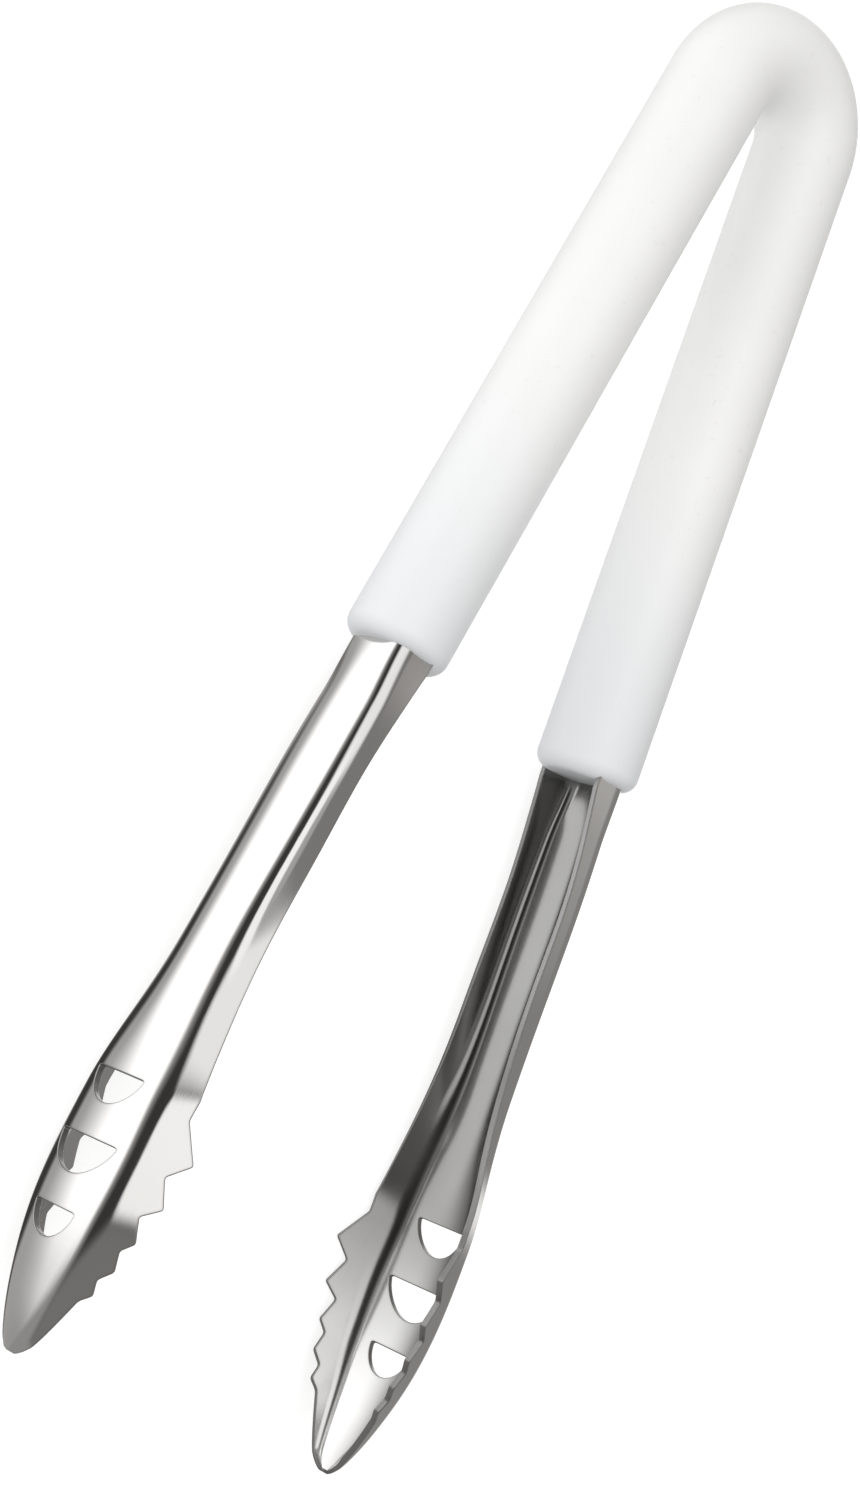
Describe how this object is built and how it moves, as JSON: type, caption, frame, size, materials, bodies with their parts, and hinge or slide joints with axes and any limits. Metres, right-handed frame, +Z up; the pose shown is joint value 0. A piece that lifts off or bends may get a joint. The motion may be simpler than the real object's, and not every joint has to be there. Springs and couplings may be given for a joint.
{
  "type": "ice tongs",
  "caption": "Spring ice tongs: a bent steel strip with two channel arms, toothed and drained claw jaws, and a round moulded grip over the bow and upper arms.",
  "frame": {"origin": "middle of the bottom of the bounding box, the tongs lying on their side", "axes": "+Z up, square to the plane the arms move in; +Y toward the bow, -Y toward the tips; -X left arm, +X right arm"},
  "size_m": [0.072, 0.241, 0.0269],
  "materials": {
    "polished_steel": "mirror-polished stainless steel sheet",
    "white_plastic": "satin moulded white plastic"
  },
  "bodies": {
    "bow": {"spring_bow": "polished_steel", "grip_bow": "white_plastic"},
    "left_arm": {"arm_left": "polished_steel", "grip_left": "white_plastic"},
    "right_arm": {"arm_right": "polished_steel", "grip_right": "white_plastic"}
  },
  "joints": [
    {"name": "left_arm_squeeze", "type": "hinge", "parent": "bow", "child": "left_arm", "pos_m": [-0.00713, 0.10802, 0.01343], "axis": [0, 0, 1], "range_deg": [0, 7], "stiffness_Nm_per_rad": 3, "deforming": ["spring_bow", "grip_bow"]},
    {"name": "right_arm_squeeze", "type": "hinge", "parent": "bow", "child": "right_arm", "pos_m": [0.00713, 0.10802, 0.01343], "axis": [0, 0, -1], "range_deg": [0, 7], "stiffness_Nm_per_rad": 3, "deforming": ["spring_bow", "grip_bow"]}
  ],
  "couplings": [
    {"joint": "right_arm_squeeze", "follows": "left_arm_squeeze", "ratio": 1}
  ]
}
